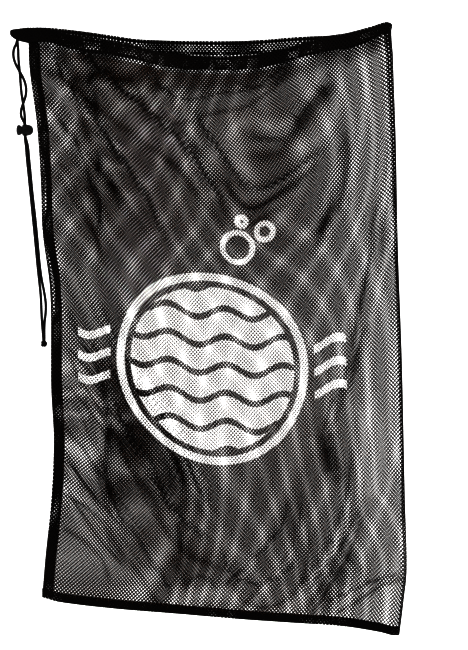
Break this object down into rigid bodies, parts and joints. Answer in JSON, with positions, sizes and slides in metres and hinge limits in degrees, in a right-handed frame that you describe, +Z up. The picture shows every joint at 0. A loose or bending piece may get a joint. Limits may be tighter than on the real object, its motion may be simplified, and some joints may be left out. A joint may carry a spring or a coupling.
{
  "type": "mesh drawcord bag",
  "caption": "Flat rectangular net bag for wet dive gear, hanging empty, with a sagging hemmed mouth, a drawcord leaving by a gathered ear, a push-button cord lock and a knot.",
  "frame": {"origin": "middle of the straight line between the two top corners of the mouth, by which the bag hangs", "axes": "+Z up towards the mouth, -Y out of the front face, +X towards the folded side, so that the side seam and the cord are at -X"},
  "size_m": [0.5222, 0.0423, 0.8081],
  "materials": {
    "net": "open warp-knitted net of matt black polyester",
    "seam": "several layers of the same net, sewn together",
    "cord": "round braided cord, matt black",
    "lock": "moulded, satin black"
  },
  "bodies": {
    "bag": {"net_front": "net", "net_back": "net", "side_seam": "seam", "bottom_seam": "seam", "mouth_hem": "seam", "channel_cord": "cord", "cord_strand_front": "cord", "cord_strand_back": "cord", "cord_lock_barrel": "lock", "end_knot": "cord"},
    "button": {"cord_lock_button": "lock"}
  },
  "joints": [
    {"name": "button_press", "type": "slide", "parent": "bag", "child": "button", "axis": [1, 0, 0], "range_m": [0, 0.0035], "stiffness_N_per_m": 1200, "springref_m": -0.002}
  ]
}
